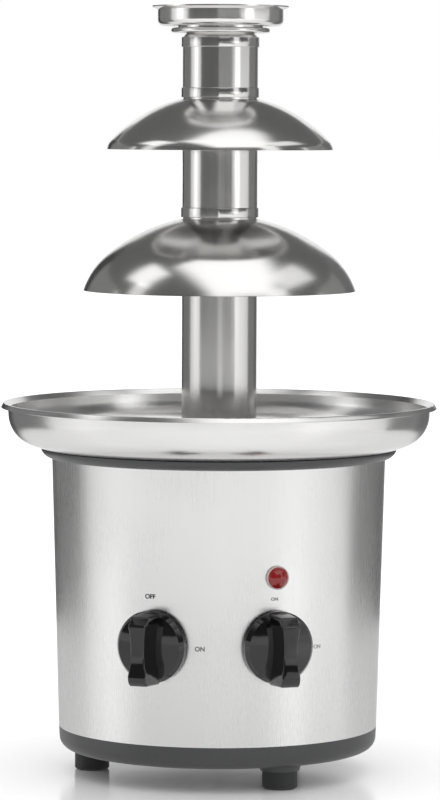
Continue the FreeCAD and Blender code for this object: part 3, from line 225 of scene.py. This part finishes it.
def brushedMetal(name, color, roughness, stretch, depth=0.08, roughDepth=0.12, bump=0.02, spread=0.0):
    # spread draws the highlights out sideways, as an upright grain does
    material, tree, shader = startMaterial(name)
    setSockets(shader, Metallic=1)
    marks = addNode(tree, "ShaderNodeGroup", {"node_tree": handlingGroup}, Scale=surface["handlingScale"],
                    Roughness=roughness, Depth=surface["handlingDepth"])
    grain = addNode(tree, "ShaderNodeGroup", {"node_tree": grainGroup}, Stretch=stretch, Tone_Depth=depth,
                    Base=(*color, 1), Roughness_Depth=roughDepth)
    feed(tree, grain.inputs["Roughness"], marks.outputs["Roughness"])
    feed(tree, shader.inputs["Base Color"], grain.outputs["Color"])
    feed(tree, shader.inputs["Roughness"], grain.outputs["Roughness"])
    addBump(tree, grain.outputs["Height"], shader, bump, surface["grainRelief"])
    if spread:
        setSockets(shader, Anisotropic=spread)
        tangent = addNode(tree, "ShaderNodeTangent", {"direction_type": "RADIAL", "axis": "Z"})
        feed(tree, shader.inputs["Tangent"], tangent.outputs["Tangent"])
    return material


def moulded(name, color, roughness, bump=0.1, coat=0.0, glow=0.0, shine=0.5):
    material, tree, shader = startMaterial(name)
    texture = addNode(tree, "ShaderNodeGroup", {"node_tree": mouldedGroup}, Base=(*color, 1),
                      Roughness=roughness)
    feed(tree, shader.inputs["Base Color"], texture.outputs["Color"])
    feed(tree, shader.inputs["Roughness"], texture.outputs["Roughness"])
    addBump(tree, texture.outputs["Height"], shader, bump, surface["mouldedRelief"])
    setSockets(shader, Specular_IOR_Level=shine, Coat_Weight=coat, Coat_Roughness=surface["coatRoughness"])
    if glow:
        setSockets(shader, Emission_Color=(*color, 1), Emission_Strength=glow)
    return material


upwards = (1500, 1500, 9)
across = (60, 60, 2600)
evenly = (700, 700, 700)
finely = (900, 900, 900)
coarsely = (400, 400, 400)
looks = {
    "satin_steel": brushedMetal("satinSteel", (0.76, 0.76, 0.755), 0.25, upwards, depth=0.065, spread=0.6),
    "polished_steel": brushedMetal("polishedSteel", (0.80, 0.795, 0.785), 0.17, across, depth=0.04,
                                   roughDepth=0.05, bump=0.01),
    "tube_steel": brushedMetal("tubeSteel", (0.71, 0.705, 0.695), 0.16, upwards, roughDepth=0.08),
    "bowl_steel": brushedMetal("bowlSteel", (0.79, 0.785, 0.78), 0.22, across, depth=0.06, roughDepth=0.08),
    "black_moulding": moulded("blackMoulding", (0.072, 0.073, 0.075), 0.36),
    "knob_black": moulded("knobBlack", (0.005, 0.005, 0.0055), 0.06, bump=0.002, coat=0.5, shine=0.45),
    "foot_rubber": moulded("footRubber", (0.03, 0.031, 0.033), 0.5, bump=0.15),
    "seal_rubber": moulded("sealRubber", (0.78, 0.77, 0.74), 0.5),
    "food_plastic": moulded("foodPlastic", (0.86, 0.85, 0.81), 0.3, bump=0.03),
    "red_lens": moulded("redLens", (0.27, 0.008, 0.008), 0.14, bump=0.0, coat=0.5, glow=0.12),
    "pilot_plastic": moulded("pilotPlastic", (0.74, 0.58, 0.56), 0.3, bump=0.02),
    "switch_plastic": moulded("switchPlastic", (0.09, 0.09, 0.09), 0.5),
    "zinc_steel": brushedMetal("zincSteel", (0.62, 0.62, 0.63), 0.32, finely, depth=0.1),
    "die_casting": brushedMetal("dieCasting", (0.60, 0.60, 0.61), 0.5, coarsely, depth=0.12, bump=0.1),
    "element_steel": brushedMetal("elementSteel", (0.32, 0.31, 0.30), 0.45, evenly),
    "control_ceramic": moulded("controlCeramic", (0.82, 0.80, 0.75), 0.55),
    "fuse_case": brushedMetal("fuseCase", (0.7, 0.7, 0.7), 0.25, evenly),
    "brass": brushedMetal("brass", (0.75, 0.58, 0.28), 0.28, finely),
}
slotOf = {entry["node"]: entry["material_slot"] for entry in frame["record"]["subparts"]}
for name, node in frame["nodes"].items():
    node.data.materials.clear()
    node.data.materials.append(looks[slotOf[name]])
print("materials made:", len(looks))


# Finished pieces that stand for the plain solids

bodyOf = {name: body for body, names in frame["record"]["behaviour"]["bodies"].items() for name in names}


def faceOutwards(mesh):
    # joins loose corners, drops imported normals and turns every face outwards
    if mesh.has_custom_normals:
        mesh.attributes.remove(mesh.attributes["custom_normal"])
    work = bmesh.new()
    work.from_mesh(mesh)
    bmesh.ops.remove_doubles(work, verts=work.verts, dist=0.0001 * mm)
    bmesh.ops.recalc_face_normals(work, faces=work.faces)
    work.to_mesh(mesh)
    work.free()


def finishPiece(name, mesh, standsFor, sharpAngle):
    mesh.set_sharp_from_angle(angle=math.radians(sharpAngle))
    piece = addObject(name, mesh)
    mesh.materials.clear()
    mesh.materials.append(looks[slotOf[standsFor]])
    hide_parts(standsFor)
    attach(piece, bodyOf[standsFor])


# Tiers: a domed sheet turned on a lathe from its section

tiers = {
    "lower_tier": {"crownRadius": 88.2 * mm, "shoulderRadius": 40.1 * mm, "shoulderAngle": 37.8},
    "upper_tier": {"crownRadius": 74.9 * mm, "shoulderRadius": 8.0 * mm, "shoulderAngle": 45.9},
}
tierSheet = {
    "wall": 0.6 * mm,
    "flat": 20.0 * mm,
    "hole": 17.95 * mm,
    "sharpAngle": 35,
    "crownSteps": 24,
    "shoulderSteps": 16,
}
lathe = {"segments": 256, "coreRadius": 1.0 * mm}


def makeLatheTree():
    # turns the closed section held in the mesh about the upright axis
    tree = bpy.data.node_groups.new("latheTurning", "GeometryNodeTree")
    tree.interface.new_socket(name="Geometry", in_out="INPUT", socket_type="NodeSocketGeometry")
    tree.interface.new_socket(name="Segments", in_out="INPUT", socket_type="NodeSocketInt")
    tree.interface.new_socket(name="Core Radius", in_out="INPUT", socket_type="NodeSocketFloat")
    tree.interface.new_socket(name="Material", in_out="INPUT", socket_type="NodeSocketMaterial")
    tree.interface.new_socket(name="Geometry", in_out="OUTPUT", socket_type="NodeSocketGeometry")
    given = tree.nodes.new("NodeGroupInput")
    out = tree.nodes.new("NodeGroupOutput")
    section = tree.nodes.new("GeometryNodeMeshToCurve")
    path = tree.nodes.new("GeometryNodeCurvePrimitiveCircle")
    sweep = tree.nodes.new("GeometryNodeCurveToMesh")
    smooth = tree.nodes.new("GeometryNodeSetShadeSmooth")
    realize = tree.nodes.new("GeometryNodeRealizeInstances")
    paint = tree.nodes.new("GeometryNodeSetMaterial")
    link = tree.links.new
    link(given.outputs["Geometry"], section.inputs["Mesh"])
    link(given.outputs["Segments"], path.inputs["Resolution"])
    link(given.outputs["Core Radius"], path.inputs["Radius"])
    link(path.outputs["Curve"], sweep.inputs["Curve"])
    link(section.outputs["Curve"], sweep.inputs["Profile Curve"])
    link(sweep.outputs["Mesh"], smooth.inputs["Geometry"])
    link(smooth.outputs["Geometry"], realize.inputs["Geometry"])
    link(realize.outputs["Geometry"], paint.inputs["Geometry"])
    link(given.outputs["Material"], paint.inputs["Material"])
    link(paint.outputs["Geometry"], out.inputs["Geometry"])
    return tree


latheTree = makeLatheTree()


def setInput(modifier, label, value):
    sockets = modifier.node_group.interface.items_tree
    identifier = next(s.identifier for s in sockets if s.name == label and s.in_out == "INPUT")
    modifier[identifier] = value


def turnOnLathe(name, section, standsFor, sharpAngle):
    # section: closed list of (radius, height) corners, in order
    outline = bpy.data.meshes.new(name + "Section")
    points = [(radius - lathe["coreRadius"], -height, 0) for radius, height in section]
    outline.from_pydata(points, [(i, (i + 1) % len(points)) for i in range(len(points))], [])
    blank = addObject(name + "Blank", outline)
    modifier = blank.modifiers.new("lathe", "NODES")
    modifier.node_group = latheTree
    setInput(modifier, "Segments", lathe["segments"])
    setInput(modifier, "Core Radius", lathe["coreRadius"])
    setInput(modifier, "Material", looks[slotOf[standsFor]])
    mesh = plainMesh(blank)
    mesh.name = name
    faceOutwards(mesh)
    finishPiece(name, mesh, standsFor, sharpAngle)


def arc(centre, radius, fromAngle, toAngle, steps):
    # points round a centre, angles in degrees from the outward direction
    angles = [math.radians(fromAngle + (toAngle - fromAngle) * i / steps) for i in range(steps + 1)]
    return [(centre[0] + radius * math.cos(angle), centre[1] + radius * math.sin(angle)) for angle in angles]


def makeTier(node, sizes):
    low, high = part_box(node)
    top, rim = high.z, high.x
    wall, flat, hole = tierSheet["wall"], tierSheet["flat"], tierSheet["hole"]
    crown, shoulder, angle = sizes["crownRadius"], sizes["shoulderRadius"], sizes["shoulderAngle"]
    crownCentre = (0, top - math.sqrt(crown ** 2 - flat ** 2))
    shoulderCentre = ((crown - shoulder) * math.sin(math.radians(angle)),
                      crownCentre[1] + (crown - shoulder) * math.cos(math.radians(angle)))
    outerFlatAngle = math.degrees(math.acos(flat / crown))
    innerFlatAngle = math.degrees(math.asin((top - wall - crownCentre[1]) / (crown - wall)))
    rimAngle = math.degrees(math.acos(min(1, (rim - shoulderCentre[0]) / shoulder)))
    crownSteps, shoulderSteps = tierSheet["crownSteps"], tierSheet["shoulderSteps"]
    section = [(hole, top)]
    section += arc(crownCentre, crown, outerFlatAngle, 90 - angle, crownSteps)
    section += arc(shoulderCentre, shoulder, 90 - angle, rimAngle, shoulderSteps)[1:]
    section += arc(shoulderCentre, shoulder - wall, rimAngle, 90 - angle, shoulderSteps)
    section += arc(crownCentre, crown - wall, 90 - angle, innerFlatAngle, crownSteps)[1:]
    section += [(hole, top - wall)]
    turnOnLathe(node + "_dome", section, node, tierSheet["sharpAngle"])


for node, sizes in tiers.items():
    makeTier(node, sizes)
print("tiers turned")


# Other solids: a merged copy with smooth curves and crisp edges

otherSharpAngle = 30


def dress(node):
    mesh = frame["nodes"][node].data.copy()
    faceOutwards(mesh)
    mesh.shade_smooth()
    finishPiece(node + "_finished", mesh, node, otherSharpAngle)


for node in frame["nodes"]:
    if node not in tiers:
        dress(node)
print("other pieces finished")


# Printed marks by the controls: plain switch words, thin enough to lie on the steel

marks = {
    "depth": 0.06 * mm,
    "lift": 0.05 * mm,
    "sizeForHeight": 1.35,  # text size against the height of its capitals
    "boldness": 0.03,  # widening of the strokes against that height
    "inkRoughness": 0.6,
    "words": [  # text, control, degrees beside it, height above it, letter height, grey of the ink
        ("OFF", "motor_knob", -2.5, 24.0 * mm, 2.3 * mm, 0.03),
        ("ON", "motor_knob", 15.0, -0.6 * mm, 2.3 * mm, 0.12),
        ("ON", "pilot_lens", -0.6, -10.4 * mm, 1.7 * mm, 0.28),
        ("ON", "heat_knob", 17.5, -1.0 * mm, 2.0 * mm, 0.62),
    ],
}


def drumAt(height):
    # radius and lean of the tapered drum wall at a height
    low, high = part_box("body_shell")
    verts = frame["nodes"]["body_shell"].data.vertices
    foot = max(math.hypot(v.co.x, v.co.y) for v in verts if v.co.z < low.z + mm)
    rise = high.z - low.z
    return foot + (high.x - foot) * (height - low.z) / rise, math.atan((high.x - foot) / rise)


def printWord(number, text, control, beside, above, tall, grey):
    low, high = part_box(control)
    centre = (low + high) / 2
    angle = math.atan2(centre.x, -centre.y) + math.radians(beside)
    height = centre.z + above
    radius, lean = drumAt(height)
    letters = bpy.data.curves.new(f"word{number}", "FONT")
    letters.body = text
    letters.size = tall * marks["sizeForHeight"]
    letters.align_x = "CENTER"
    letters.align_y = "CENTER"
    letters.extrude = marks["depth"]
    letters.offset = tall * marks["boldness"]
    mesh = plainMesh(addObject(f"word{number}Curve", letters))
    spot = aroundObject(math.degrees(angle), radius + marks["lift"], height)
    mesh.transform(Matrix.Translation(spot) @ Matrix.Rotation(angle, 4, "Z")
                   @ Matrix.Rotation(math.radians(90) + lean, 4, "X"))
    faceOutwards(mesh)
    mesh.materials.clear()
    mesh.materials.append(moulded(f"ink{number}", (grey, grey, grey), marks["inkRoughness"], bump=0.02))
    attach(addObject(f"printed_word_{number}", mesh), "housing")


for number, word in enumerate(marks["words"], start=1):
    printWord(number, *word)
print("marks printed")


# Stage helpers

objectMiddle = Vector((0, 0, 0.19))


def rectangle(name, width, tall):
    mesh = bpy.data.meshes.new(name)
    x, y = width / 2, tall / 2
    mesh.from_pydata([(-x, -y, 0), (x, -y, 0), (x, y, 0), (-x, y, 0)], [], [(0, 1, 2, 3)])
    return mesh


def aimAtObject(thing, spot):
    thing.location = spot
    thing.rotation_euler = (objectMiddle - spot).to_track_quat("-Z", "Y").to_euler()


def showOnlyInReflections(thing):
    thing.visible_camera = False
    thing.visible_diffuse = False
    thing.visible_shadow = False


# Floor: glossy near the object and matt white further off, with painted shade darkening the white close
# round the pieces

floorLook = {
    "width": 60,
    "white": 0.9,
    "roughness": 0.18,
    "fade": (0.35, 0.9),  # distances from the object between which it turns matt and white
    "gloss": (0.5, 0.0),  # near, far
    "whitening": (0.3, 0.7),  # near, far, as the camera sees it
    # painted shade: pieces nearer than this darken the floor's white as the camera sees it
    "paintedShadeReach": 0.12,  # how near a piece shades that whitening
    "mirroredFrom": (-0.7, 0.1),  # places along y, minus in front, for the two strengths below
    "mirrored": (0.45, 0.22),  # as reflections see it
}


def makeFloor():
    floor = addObject("floor", rectangle("floor", floorLook["width"], floorLook["width"]))
    material, tree, shader = startMaterial("floorWhite")
    white = floorLook["white"]
    setSockets(shader, Base_Color=(white, white, white, 1), Roughness=floorLook["roughness"],
               Emission_Color=(1, 1, 1, 1))
    where = objectPlace(tree)
    away = addNode(tree, "ShaderNodeVectorMath", {"operation": "LENGTH"})
    feed(tree, away.inputs[0], where)
    distance = away.outputs["Value"]
    gloss = addRange(tree, distance, floorLook["fade"], floorLook["gloss"])
    feed(tree, shader.inputs["Specular IOR Level"], gloss)
    whitening = addRange(tree, distance, floorLook["fade"], floorLook["whitening"])
    parts = addNode(tree, "ShaderNodeSeparateXYZ")
    feed(tree, parts.inputs[0], where)
    mirrored = addRange(tree, parts.outputs["Y"], floorLook["mirroredFrom"], floorLook["mirrored"])
    # painted shade: ambient occlusion darkens the camera-seen white under and beside the pieces
    paintedContactShade = addNode(tree, "ShaderNodeAmbientOcclusion", {"samples": 8}, Distance=floorLook["paintedShadeReach"])
    paths = addNode(tree, "ShaderNodeLightPath").outputs
    cameraWithPaintedShade = addMath(tree, "MULTIPLY", paths["Is Camera Ray"], paintedContactShade.outputs["AO"])
    seen = addMath(tree, "MULTIPLY", cameraWithPaintedShade, whitening)
    feed(tree, shader.inputs["Emission Strength"],
         addMath(tree, "MULTIPLY_ADD", paths["Is Glossy Ray"], mirrored, seen))
    floor.data.materials.append(material)


makeFloor()


# Dark cards and a canopy that the steel mirrors

cards = [  # angle range from the front, distance, foot, top, tone
    ((-61, -4), 2.6, -0.05, 1.9, 0.17),
    ((-4, 38), 2.6, 0.095, 0.345, 0.12),
    ((-4, 38), 2.6, 0.41, 1.2, 0.12),
    ((10, 50), 2.6, 0.02, 0.19, 0.14),
    ((-97, -61), 2.6, 0.6, 1.9, 0.17),
    ((33, 96), 2.6, 0.45, 1.9, 0.17),
    ((-143, -98), 0.6, 0.0, 0.53, 0.28),
    ((-160, -143), 0.6, 0.0, 0.53, 0.05),
    ((98, 133), 0.6, 0.0, 0.53, 0.33),
    ((133, 160), 0.6, 0.0, 0.53, 0.2),
]
cardSteps = 8
canopy = {"fromElevation": 26, "toElevation": 89, "distance": 3.2, "tone": 0.19, "around": 32, "rows": 6}


def hangCard(name, points, faces, tone):
    mesh = bpy.data.meshes.new(name)
    mesh.from_pydata(points, [], faces)
    card = addObject(name, mesh)
    material, tree, shader = startMaterial(name + "Dark")
    setSockets(shader, Base_Color=(tone, tone, tone, 1), Roughness=1)
    mesh.materials.append(material)
    showOnlyInReflections(card)


def makeCard(number, angles, distance, foot, top, tone):
    points = []
    for step in range(cardSteps + 1):
        angle = angles[0] + (angles[1] - angles[0]) * step / cardSteps
        points += [aroundObject(angle, distance, foot), aroundObject(angle, distance, top)]
    faces = [(2 * i, 2 * i + 2, 2 * i + 3, 2 * i + 1) for i in range(cardSteps)]
    hangCard(f"card{number}", points, faces, tone)


def makeCanopy():
    around, rows, distance = canopy["around"], canopy["rows"], canopy["distance"]
    points = []
    for row in range(rows + 1):
        climb = (canopy["toElevation"] - canopy["fromElevation"]) * row / rows
        rise = math.radians(canopy["fromElevation"] + climb)
        for step in range(around):
            points.append(aroundObject(360 * step / around, distance * math.cos(rise),
                                       distance * math.sin(rise)))
    faces = [(row * around + step, row * around + (step + 1) % around,
              (row + 1) * around + (step + 1) % around, (row + 1) * around + step)
             for row in range(rows) for step in range(around)]
    hangCard("canopy", points, faces, canopy["tone"])


for number, card in enumerate(cards, start=1):
    makeCard(number, *card)
makeCanopy()
print("floor, cards and canopy set")


# Lamps, and bright panels with soft sides that show only in reflections

lamps = {  # angle from the front, distance, height, width, tall, power, seen in reflections
    "topLamp": (0, 0.65, 1.75, 1.5, 2.1, 6.5, False),
    "sideLamp1": (-78, 2.0, 0.9, 0.5, 1.5, 1.8, True),
    "sideLamp2": (55, 2.0, 0.9, 0.65, 1.5, 2.9, True),
}
glows = [  # angle from the front, elevation, distance, width, tall, full width of the middle, strength
    (23, 65, 1.75, 2.3, 2.1, 1.2, 1.25),
    (-87, 48, 2.3, 1.4, 0.9, 0.6, 1.2),
    (88, 47, 2.3, 1.9, 0.8, 0.9, 0.9),
]


def makeLamp(name, angle, distance, height, width, tall, power, mirrored):
    light = bpy.data.lights.new(name, "AREA")
    light.shape = "RECTANGLE"
    light.size = width
    light.size_y = tall
    light.energy = power
    lamp = addObject(name, light)
    aimAtObject(lamp, aroundObject(angle, distance, height))
    lamp.visible_camera = False
    lamp.visible_glossy = mirrored


def makeGlow(number, angle, elevation, distance, width, tall, core, strength):
    rise = math.radians(elevation)
    glow = addObject(f"glow{number}", rectangle(f"glow{number}", width, tall))
    height = objectMiddle.z + distance * math.sin(rise)
    aimAtObject(glow, aroundObject(angle, distance * math.cos(rise), height))
    material, tree, shader = startMaterial(f"softGlow{number}")
    parts = addNode(tree, "ShaderNodeSeparateXYZ")
    feed(tree, parts.inputs[0], objectPlace(tree))
    side = addMath(tree, "ABSOLUTE", parts.outputs["X"])
    feed(tree, shader.inputs["Alpha"], addRange(tree, side, (core / 2, width / 2), (1, 0), "SMOOTHSTEP"))
    setSockets(shader, Base_Color=(0, 0, 0, 1), Emission_Color=(1, 1, 1, 1), Emission_Strength=strength)
    glow.data.materials.append(material)
    showOnlyInReflections(glow)


for name, settings in lamps.items():
    makeLamp(name, *settings)
for number, glow in enumerate(glows, start=1):
    makeGlow(number, *glow)
print("lamps and panels hung")


# World: white where the camera and reflections see it, softer as light on the object

worldLight = {"onObject": 0.62, "seen": 1.0}


def makeWorld():
    world = bpy.data.worlds.new("studio")
    bpy.context.scene.world = world
    world.use_nodes = True
    tree = world.node_tree
    background = tree.nodes["Background"]
    setSockets(background, Color=(1, 1, 1, 1))
    paths = addNode(tree, "ShaderNodeLightPath").outputs
    seen = addMath(tree, "MAXIMUM", paths["Is Camera Ray"], paths["Is Glossy Ray"])
    seen = addMath(tree, "MAXIMUM", seen, paths["Is Transmission Ray"])
    strength = addRange(tree, seen, (0, 1), (worldLight["onObject"], worldLight["seen"]))
    feed(tree, background.inputs["Strength"], strength)


makeWorld()
print("world set")


# Camera

view = {
    "turn": 1.1,
    "distance": 1.9787,
    "height": 0.3229,
    "aside": -0.1 * mm,
    "pitch": 3.98,
    "roll": 0.25,
    "lens": 179.6,
    "sensorWidth": 36,
}


def makeCamera():
    lens = bpy.data.cameras.new("camera")
    lens.lens = view["lens"]
    lens.sensor_width = view["sensorWidth"]
    camera = addObject("camera", lens)
    camera.location = aroundObject(view["turn"], view["distance"], view["height"])
    camera.location.x += view["aside"]
    turns = (90 - view["pitch"], -view["roll"], view["turn"])
    camera.rotation_euler = [math.radians(angle) for angle in turns]
    bpy.context.scene.camera = camera


makeCamera()
bpy.context.scene.view_settings.view_transform = "Standard"
print("camera set")
